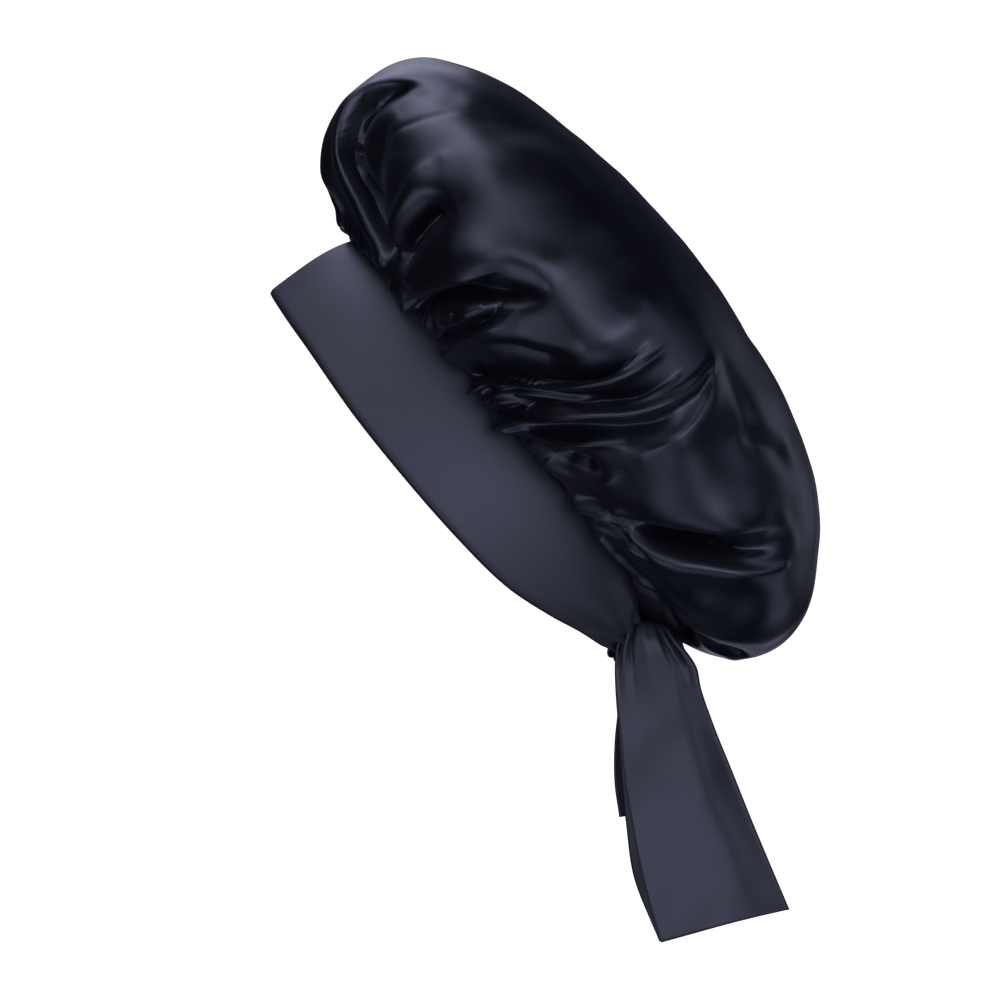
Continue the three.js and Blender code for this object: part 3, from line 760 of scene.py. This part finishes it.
hem = hem_rows(crown_angles)
outside = np.concatenate([hem, base + crown_shift], axis=1)
height_over_base = (crown_shift * base_normals).sum(-1)
sideways = crown_shift - base_normals * height_over_base[..., None]
inner_height = lowest_near(height_over_base) - CROWN_WALL
inside = base + sideways + base_normals * inner_height[..., None]
inside_hem = hem_rows(crown_angles)
spokes = inside_hem[..., :2] / np.linalg.norm(inside_hem[..., :2], axis=-1, keepdims=True)
inside_hem[..., :2] -= CROWN_WALL * spokes
inside_hem[:, 1, 2] += CROWN_WALL
inside = inside[:, INNER_ROW_STEP - 1 :: INNER_ROW_STEP]
inside = np.concatenate([inside_hem, inside], axis=1)[::INNER_COLUMN_STEP]

# %% Build the crown
# The hem's two rows lie just outside the flat round's edge.
HEM_UPS = [-0.04, -0.02]
columns, rows = outside.shape[:2]
inner_columns, inner_rows = inside.shape[:2]
count, inner_count = columns * rows, inner_columns * inner_rows
points = np.concatenate([outside.reshape(-1, 3), inside.reshape(-1, 3), [TOP_POINT], [TOP_POINT]])
points[-1, 2] -= CROWN_WALL
faces = ring_faces(columns, rows, 0, False) + ring_faces(inner_columns, inner_rows, count, True)
for i in range(inner_columns):
    first = INNER_COLUMN_STEP * i
    outer = [(first + k) % columns * rows for k in range(INNER_COLUMN_STEP, -1, -1)]
    inner = [count + (i + k) % inner_columns * inner_rows for k in (0, 1)]
    faces.append(outer + inner)
faces += fan_faces(columns, rows, rows - 1, count + inner_count, False)
faces += fan_faces(inner_columns, inner_rows, count + inner_rows - 1, count + inner_count + 1, True)


def disc_places(angles, ups):
    """Where grid points lie on the flat round of cloth, with its rim at 1."""
    around = np.repeat(np.radians(angles), len(ups))
    spoke = np.tile(1 - np.asarray(ups), len(angles))
    return np.stack([spoke * np.cos(around), spoke * np.sin(around)], axis=1)


all_ups = np.concatenate([HEM_UPS, crown_ups])
inner_ups = np.concatenate([HEM_UPS, crown_ups[INNER_ROW_STEP - 1 :: INNER_ROW_STEP]])
inner_angles = crown_angles[::INNER_COLUMN_STEP]
crown_uvs = [disc_places(crown_angles, all_ups), disc_places(inner_angles, inner_ups), [[0, 0]] * 2]
crown = object_from("crown_cloth", to_frame(points), faces, np.concatenate(crown_uvs))
print("crown", len(crown.data.polygons), "faces")

# %% [markdown]
# ## The band
#
# The band is one long strip of the same satin, folded double, so its lower edge is a soft fold and not a
# raw edge. It lies flat against the head, leans out a little at the front, and is drawn together where its
# ends go into the knot, with pleats along it and soft creases that fan out. The strip is swept round the
# head: its cross section is a thin rounded loop, and its two edges follow their own heights.

# %% The band's pleats, creases and edges
BAND_COLUMNS, BAND_ROWS = 300, 26
# How far the band bows in and out on its way round, in mm, and how often it does.
BOW = 0.35
BOW_TURNS = (3, 5, 8)
# The pleats run from an angle to the knot, are a little lower at the upper edge, and their depth is in mm.
BAND_PLEATS = {"from": 150, "depth": 1.5, "count": 7, "less above": 0.3}
# The creases that fan out from the knot: their height in mm, their number, and the angle and the share of the
# band's height that they start from. Then, in degrees, how far past that their lines would meet, how far
# they reach, and what the band's height counts as.
KNOT_CREASES = {"height": 0.9, "count": 9, "start": 171, "centre": 0.45}
KNOT_CREASES |= {"past": 2, "reach": 16, "band_height": 24}
# How many times its rounded edge would fit into the band's height.
EDGE_ROUNDING = 14
# The length of a whole turn of the strip and its height in metres, as its texture measures them.
BAND_UV = (0.6, 0.054)

# %% Build the band


def tube_faces(columns, rows):
    """Faces of a closed loop of rows points, swept over columns, with both ends capped."""
    faces = []
    for i in range(columns - 1):
        for j in range(rows):
            k = (j + 1) % rows
            faces.append([i * rows + j, (i + 1) * rows + j, (i + 1) * rows + k, i * rows + k])
    faces.append(list(range(rows)))
    faces.append([(columns - 1) * rows + j for j in range(rows - 1, -1, -1)])
    return faces


band_angles = np.linspace(-BAND_END, BAND_END, BAND_COLUMNS + 1)
lower, upper = (between(BAND, c, band_angles) for c in ("lower", "upper"))
edge_reach, seam_reach = reach(EDGE_OVAL, band_angles), reach(SEAM_OVAL, band_angles)
past_start = np.abs(band_angles) - BAND_PLEATS["from"]
pleat_growth = np.clip(past_start / (BAND_END - BAND_PLEATS["from"]), 0, 1) ** 2
bow = sum(np.sin(np.radians(band_angles) * k + k) / k for k in BOW_TURNS)


def knot_creases(across):
    """Soft creases of the band that fan out from the knot."""
    gap = (KNOT_CREASES["start"] - np.abs(band_angles))[:, None]
    off = (across - KNOT_CREASES["centre"]) * KNOT_CREASES["band_height"]
    fan = np.arctan2(off, gap + KNOT_CREASES["past"])
    far = np.hypot(gap, off) / KNOT_CREASES["reach"]
    return KNOT_CREASES["height"] * np.cos(KNOT_CREASES["count"] * fan + 1) * far * np.exp(1 - far**1.5)


def band_face(inner):
    """One face of the band: rows of points from its lower edge to its upper edge."""
    across = np.linspace(0, 1, BAND_ROWS + 1)[None, :]
    out = edge_reach[:, None] + (seam_reach - edge_reach)[:, None] * across
    out = out - BAND_TUCK * across**4 + BOW * bow[:, None] * np.sin(np.pi * across)
    pleats = np.cos(across * np.pi * BAND_PLEATS["count"]) * (1 - BAND_PLEATS["less above"] * across)
    out = out + BAND_PLEATS["depth"] * pleat_growth[:, None] * pleats
    out = out + knot_creases(across)
    height = lower[:, None] + (upper - lower)[:, None] * across
    rounding = np.sqrt(np.clip(1 - (1 - np.minimum(across * EDGE_ROUNDING, 1)) ** 2, 0, 1))
    shift = BAND_WALL * (0.5 if not inner else -0.5) * rounding - BAND_WALL / 2
    a = np.radians(band_angles)[:, None]
    out = out + shift
    return np.stack([out * np.sin(a), -out * np.cos(a), height], axis=-1)


front_face, back_face = band_face(False), band_face(True)
loop = np.concatenate([front_face, back_face[:, :0:-1]], axis=1)
band_points = loop.reshape(-1, 3)
strip_across = np.concatenate([np.linspace(0, 1, BAND_ROWS + 1), np.linspace(1, 0, BAND_ROWS + 1)[:-1]])
strip_along = np.repeat(band_angles / 360, len(strip_across))
band_uvs = np.stack([strip_along * BAND_UV[0], np.tile(strip_across, len(band_angles)) * BAND_UV[1]], axis=1)
band = object_from("band_cloth", to_frame(band_points), tube_faces(*loop.shape[:2]), band_uvs)
print("band", len(band.data.polygons), "faces")

# %% [markdown]
# ## The ties
#
# Each tie is the band's own strip going on past the knot. It is folded in half along its length, so across
# it the cloth runs out along the half that shows, round the fold, and back along the hidden half. A table
# gives the tie's two edges at a few heights, with how far out the cloth lies and how wide the two halves
# gape. A soft crease runs down the half that shows, nearer to its fold, and at the top the cloth is pleated
# and bends in over the knot.

# %% The tables of the ties
# One row for each height on the tie, in mm: left, right, out_left, out_ridge, out_right, gape, pleat, peek,
# curl. left and right are the (y, z) of its free edges and of its fold. out_left, out_ridge and out_right
# are how far the shown half lies from the middle plane at its edge, along its crease and at its fold. gape
# is how far the hidden half stands off, and pleat is the depth of the pleats. peek is how far the hidden
# half's free edge shows past the other one, and curl is how far the free edges curl out. Where curl is
# negative, only the hidden edge curls, and it curls in.
LEFT_TIE = [
    ((83, -61.5), (88, -62), 7, 8, 8, 2.0, 1.4, 0, 0),
    ((79.5, -61), (93, -64), 14, 15, 15, 2.0, 2.0, 0, 0),
    ((76, -66), (97, -69.5), 18, 19, 18, 2.2, 2.6, 0, 0),
    ((73.6, -73), (101.5, -74.8), 18.6, 19, 18, 2.4, 1.8, 0, 0),
    ((73, -80), (105.2, -80.5), 18, 17, 18.5, 2.6, 0.8, 0, 0),
    ((73.4, -90), (107.2, -89.5), 16.6, 14.5, 18, 3.0, 0.2, 0.3, 0),
    ((74.8, -104), (112.2, -104), 14.6, 12, 16.5, 3.2, 0, 0.6, -1),
    ((77, -125), (119.8, -123), 13, 10, 16, 3.6, 0, 1.2, -2),
    ((80.6, -148), (128.2, -144), 12.4, 9, 15.6, 4.4, 0, 2.6, -3),
    ((85, -170), (137, -165), 12.4, 9, 15, 5.2, 0, 3.6, -3),
    ((92.2, -195.8), (144.3, -182.2), 12, 9.6, 12.5, 3.6, 0, 0.6, -1),
]
RIGHT_TIE = [
    ((84, -62.5), (92, -63.5), 7, 8, 7, 2.0, 1.4, 0, 0),
    ((81, -62), (97, -64.5), 14, 15, 13, 2.0, 2.2, 0, 0),
    ((78, -68), (100, -70), 18, 20, 16, 2.2, 2.4, 0, 0),
    ((76, -76), (103, -79), 18.5, 20, 16.5, 2.4, 1.3, 0, -1),
    ((75.4, -85), (105.2, -87), 17, 18.5, 15, 2.6, 0.5, 0, -2),
    ((75, -98), (108.6, -95), 15, 16.5, 12, 3.0, 0.1, 0, -4),
    ((73.6, -112), (112.5, -107), 13.5, 15, 10, 3.2, 0, 0, -5),
    ((73.4, -130), (118.2, -124), 12, 13.5, 8, 3.4, 0, 0, -5),
    ((75.4, -144.6), (122, -139), 11, 12.5, 7.5, 3.4, 0, 0, -4),
]

# %% Values for the ties
TIE_WALL = 0.8
# How many rows a tie has, and how many points a row has on each half and round the fold.
TIE_ROWS, TIE_ACROSS, FOLD_STEPS = 110, 64, 7
# Where the crease runs across the shown half, and how often the line over it is softened.
RIDGE_AT = 0.77
ROUNDING_PASSES = 40
# How far the two halves stand apart at the fold.
FOLD_GAP = 2.4
# Pleats under the knot, crowded at the two sides: place across the tie, half width, share of the depth.
PLEATS = {
    "place": [0.04, 0.12, 0.22, 0.42, 0.74, 0.84, 0.93],
    "half_width": [0.03, 0.025, 0.035, 0.08, 0.04, 0.025, 0.03],
    "share": [-1.1, 0.6, -0.9, 0.25, -0.7, 0.6, -1.3],
}
# The share of the width that curls at the free edges.
CURL_WIDTH = 0.22
# How strongly the slow waves, which are drawn anew for each tie, ripple both of its halves together.
TIE_RIPPLE = 1.3
# The strip's width and the ties' lengths in metres, as their texture measures them.
STRIP_WIDTH = 0.108
LEFT_LENGTH, RIGHT_LENGTH = 0.15, 0.1

# %% Build the ties


def tie_sections(table):
    """The table's columns at evenly spaced rows, on smooth curves through its own rows."""
    values = np.array([[*row[0], *row[1], *row[2:]] for row in table], float)
    lengths = np.concatenate([[0], np.cumsum(np.linalg.norm(np.diff(values[:, :4], axis=0), axis=1))])
    slopes = np.gradient(values, lengths, axis=0)
    return smooth_curve(lengths, values, slopes, np.linspace(0, lengths[-1], TIE_ROWS))


def tie_grid(table, side):
    """The tie's middle surface: for each row a hairpin of points from free edge to fold to free edge."""
    t = np.linspace(0, 1, TIE_ACROSS)
    grid = []
    pleats = sum(
        share * np.exp(-(((t - place) / half_width) ** 2))
        for place, half_width, share in zip(PLEATS["place"], PLEATS["half_width"], PLEATS["share"])
    )
    edge = np.clip(1 - t / CURL_WIDTH, 0, 1) ** 2
    for row in tie_sections(table):
        left_y, left_z, right_y, right_z, out_left, out_ridge, out_right, gape, pleat, peek, curl = row
        y, z = left_y + (right_y - left_y) * t, left_z + (right_z - left_z) * t
        out = np.interp(t, [0, RIDGE_AT, 1], [out_left, out_ridge, out_right])
        for _ in range(ROUNDING_PASSES):
            out[1:-1] = (out[:-2] + 2 * out[1:-1] + out[2:]) / 4
        out = out + pleat * pleats
        stand = FOLD_GAP + (gape - FOLD_GAP) * np.sqrt(1 - t)
        shown = np.stack([out + max(curl, 0) * edge, y, z], axis=1)
        hidden = np.stack([out - stand + curl * edge, y - peek * np.sqrt(edge), z], axis=1)
        turn = np.linspace(0, np.pi, FOLD_STEPS + 2)[1:-1]
        half = (shown[-1, 0] - hidden[-1, 0]) / 2
        fold = [hidden[-1, 0] + half * (1 + np.cos(turn)), shown[-1, 1] + half * np.sin(turn)]
        fold = np.stack([*fold, 0 * turn + shown[-1, 2]], axis=1)
        grid.append(np.concatenate([shown, fold, hidden[::-1]]))
    grid = np.array(grid)
    grid[..., 0] += TIE_RIPPLE * slow_waves(grid * [0, 1, 1])
    grid[..., 0] *= side
    return grid


def thick_strip(name, grid, wall, flip, uv_size):
    """A closed piece of cloth, equally thick on both sides of a grid of points. Only uv_size is in metres."""
    normals = grid_normals(grid, False) * (-1 if flip else 1)
    outer, inner = grid + normals * wall / 2, grid - normals * wall / 2
    loop = np.concatenate([outer, inner[:, ::-1]], axis=1)
    faces = tube_faces(*loop.shape[:2])
    if not flip:
        faces = [face[::-1] for face in faces]
    across = np.linspace(0, 1, grid.shape[1])
    across = np.concatenate([across, across[::-1]]) * uv_size[0]
    along = np.repeat(np.linspace(0, uv_size[1], len(grid)), len(across))
    uvs = np.stack([along, np.tile(across, len(grid))], axis=1)
    return object_from(name, loop.reshape(-1, 3) * MM, faces, uvs)


left_grid = tie_grid(LEFT_TIE, 1)
left_tie = thick_strip("left_tie_cloth", left_grid, TIE_WALL, False, (STRIP_WIDTH, LEFT_LENGTH))
right_grid = tie_grid(RIGHT_TIE, -1)
right_tie = thick_strip("right_tie_cloth", right_grid, TIE_WALL, True, (STRIP_WIDTH, RIGHT_LENGTH))
print("ties", len(left_tie.data.polygons), "and", len(right_tie.data.polygons), "faces")

# %% [markdown]
# ## The knot
#
# The knot is where the two ends of the strip wrap round each other. Most of it is hidden by the ties that
# come out of it, so it is one closed lump, but its surface carries the creases of the strip that is wound
# round it: ridges that run over it at a slant, closer together where the cloth is drawn in.

# %% Build the knot
# How far behind the crown's axis and how high along it the knot's middle lies, and its half sizes, in mm.
KNOT = {"along": 105.5, "height": 11.2, "half_width": 15.5, "half_depth": 11, "half_height": 13.5}
# How many turns of cloth show, how deep and how sharp the creases between them are, and how they slant.
WINDINGS = {"count": 7, "depth": 0.16, "slant": 0.5, "sharpness": 0.7}
# The tightest turn, and how blunt the lump's two ends are.
WAIST = {"depth": 0.1, "at": 1.2, "half_width": 0.22}
BLUNTNESS = 0.75
KNOT_UV = 0.03
turns_round, turns_along = 96, 48
phi = np.linspace(0, 2 * np.pi, turns_round, endpoint=False)[:, None]
theta = np.linspace(0, np.pi, turns_along + 2)[None, 1:-1]
winding = np.abs(np.sin(WINDINGS["count"] * (phi + WINDINGS["slant"] * theta))) ** WINDINGS["sharpness"]
crease = 1 - WINDINGS["depth"] * winding
waist = 1 - WAIST["depth"] * np.exp(-(((theta - WAIST["at"]) / WAIST["half_width"]) ** 2))
girth = np.sin(theta) ** BLUNTNESS * crease * waist
knot_x = KNOT["half_width"] * np.cos(theta) + 0 * phi
knot_s = KNOT["along"] + KNOT["half_depth"] * girth * np.cos(phi)
knot_h = KNOT["height"] + KNOT["half_height"] * girth * np.sin(phi)
knot_grid = np.stack([knot_x, knot_s, knot_h], axis=-1)
ends = [(side * KNOT["half_width"], KNOT["along"], KNOT["height"]) for side in (1, -1)]
knot_points = np.concatenate([knot_grid.reshape(-1, 3), ends])
knot_faces = ring_faces(turns_round, turns_along, 0, False)
knot_faces += fan_faces(turns_round, turns_along, 0, turns_round * turns_along, True)
knot_faces += fan_faces(turns_round, turns_along, turns_along - 1, turns_round * turns_along + 1, False)
knot_uvs = [np.cos(phi + 0 * theta).ravel(), (theta + 0 * phi).ravel()]
knot_uvs = KNOT_UV * np.concatenate([np.stack(knot_uvs, axis=1), [[0, 0], [0, 3]]])
knot = object_from("knot_cloth", to_frame(knot_points), knot_faces, knot_uvs)
print("knot", len(knot.data.polygons), "faces")

# %% [markdown]
# ## Woven satin
#
# Satin is a weave in which most threads float over several others, so its face is nearly all smooth
# parallel thread. That gives the eye a broad, soft shine that runs one way: dark cloth, bright along the
# top of each fold, and a highlight that is stretched across the threads. In the shader that is a dark base,
# a middling roughness and some anisotropy along the cloth's own direction. The threads are about a tenth of
# a millimetre apart, too fine to show, so the grain is a noise that is stretched along them, drawn about
# ten times coarser and very faint. A slower noise gives the slight ripple that keeps a highlight from
# looking like plastic, and a slower one still shades the dye a little.

# %% The satin's recipe
# Real threads lie 0.1 mm apart. The grain is drawn at 1.2 mm, so that it shows, and less than 0.2 mm high.
THREAD_MM = 1.2
THREAD_STRETCH = 3
GRAIN_HEIGHT = 0.0002
# Noise steps to the metre: a ripple of about 10 mm, and shades of the dye about 36 mm wide.
RIPPLES_PER_METRE = 95.0
RIPPLE_HEIGHT = 0.001
SHADES_PER_METRE = 28.0
LIGHTEST_SHADE = 1.25


def satin(name, hex_code, roughness, gloss, metres_per_uv, ripple, grain):
    """Woven polyester satin. metres_per_uv is how much cloth one unit of its texture covers."""
    material, tree = new_material(name)
    place = add(tree, "ShaderNodeUVMap", uv_map="cloth")
    scaled = {0: place.outputs["UV"], "Scale": metres_per_uv}
    scaled = add(tree, "ShaderNodeVectorMath", scaled, operation="SCALE")
    spot = add(tree, "ShaderNodeTexCoord")
    stretch = add(tree, "ShaderNodeMapping", {"Vector": scaled.outputs[0], "Scale": (1, THREAD_STRETCH, 1)})
    threads = add(
        tree,
        "ShaderNodeTexNoise",
        {"Vector": stretch.outputs[0], "Scale": 1 / (THREAD_MM * MM), "Detail": 2.0, "Roughness": 0.7},
    )
    slow = {"Vector": spot.outputs["Object"], "Scale": RIPPLES_PER_METRE, "Detail": 3.0}
    slow = add(tree, "ShaderNodeTexNoise", slow)
    mottle = {"Vector": spot.outputs["Object"], "Scale": SHADES_PER_METRE, "Detail": 2.0}
    mottle = add(tree, "ShaderNodeTexNoise", mottle)
    dark = linear(hex_code)
    light = [c * LIGHTEST_SHADE for c in dark[:3]] + [1]
    # Sockets 6 and 7 of a Mix node are its two colours, and its output 2 is the mixed one.
    shade = add(tree, "ShaderNodeMix", {"Factor": mottle.outputs["Fac"], 6: dark, 7: light}, data_type="RGBA")
    weave = {"Height": threads.outputs["Fac"], "Strength": grain, "Distance": GRAIN_HEIGHT}
    weave = add(tree, "ShaderNodeBump", weave)
    bump = {"Height": slow.outputs["Fac"], "Strength": ripple, "Distance": RIPPLE_HEIGHT}
    bump = add(tree, "ShaderNodeBump", {**bump, "Normal": weave.outputs["Normal"]})
    lie = add(tree, "ShaderNodeTangent", direction_type="UV_MAP", uv_map="cloth")
    shader = add(
        tree,
        "ShaderNodeBsdfPrincipled",
        {
            "Base Color": shade.outputs[2],
            "Roughness": roughness,
            "IOR": 1.5,
            "Specular IOR Level": gloss,
            "Specular Tint": linear("d3d6ee"),
            "Anisotropic": 0.4,
            "Sheen Weight": 0.05,
            "Sheen Roughness": 0.4,
            "Sheen Tint": linear("8f97b8"),
            "Normal": bump.outputs["Normal"],
            "Tangent": lie.outputs["Tangent"],
        },
    )
    add(tree, "ShaderNodeOutputMaterial", {"Surface": shader.outputs[0]})
    return material


# %% The three satins
# After the name come the colour, the roughness, the gloss, the metres of cloth that one unit of the texture
# covers, and the strengths of the ripple and the grain.
# The crown's loose satin is deep black between strong highlights.
crown_satin = satin("woven polyester satin, gathered", "07080d", 0.36, 1.0, 0.235, 0.05, 0.35)
# The same cloth folded flat and pulled round the head is duller. Its base is greyer all over than the
# crown's: painted light for the broad, even light that the flat band and the ties catch from the boxes beside
# the camera.
band_satin = satin("woven polyester satin, folded flat", "2b2c32", 0.47, 0.8, 1.0, 0.05, 0.15)
# The knot is the band's cloth, wound tightly, with a far darker base and little shine: painted shade for the
# deep shadow it lies in, between the crown and the ties.
knot_painted_shade_satin = satin("woven polyester satin, wound tightly", "08090d", 0.55, 0.3, 1.0, 0.05, 0.1)
crown.data.materials.append(crown_satin)
# The band and the ties take the greyer satin, whose lighter base is painted light.
for piece in (band, left_tie, right_tie):
    piece.data.materials.append(band_satin)
# The knot takes the darker satin, whose darkness is painted shade.
knot.data.materials.append(knot_painted_shade_satin)
print("satins:", ", ".join(material.name for material in (crown_satin, band_satin, knot_painted_shade_satin)))

# %% [markdown]
# ## Saying what each piece is
#
# Every piece rides on the one rigid body and stands for the plain solid of the same name, which is hidden.

STANDS_FOR = {
    "crown": (crown, "crown_satin"),
    "band": (band, "band_satin"),
    "knot": (knot, "band_satin"),
    "left_tie": (left_tie, "band_satin"),
    "right_tie": (right_tie, "band_satin"),
}
for solid, (piece, finish) in STANDS_FOR.items():
    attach(piece, "root")
    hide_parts(solid)
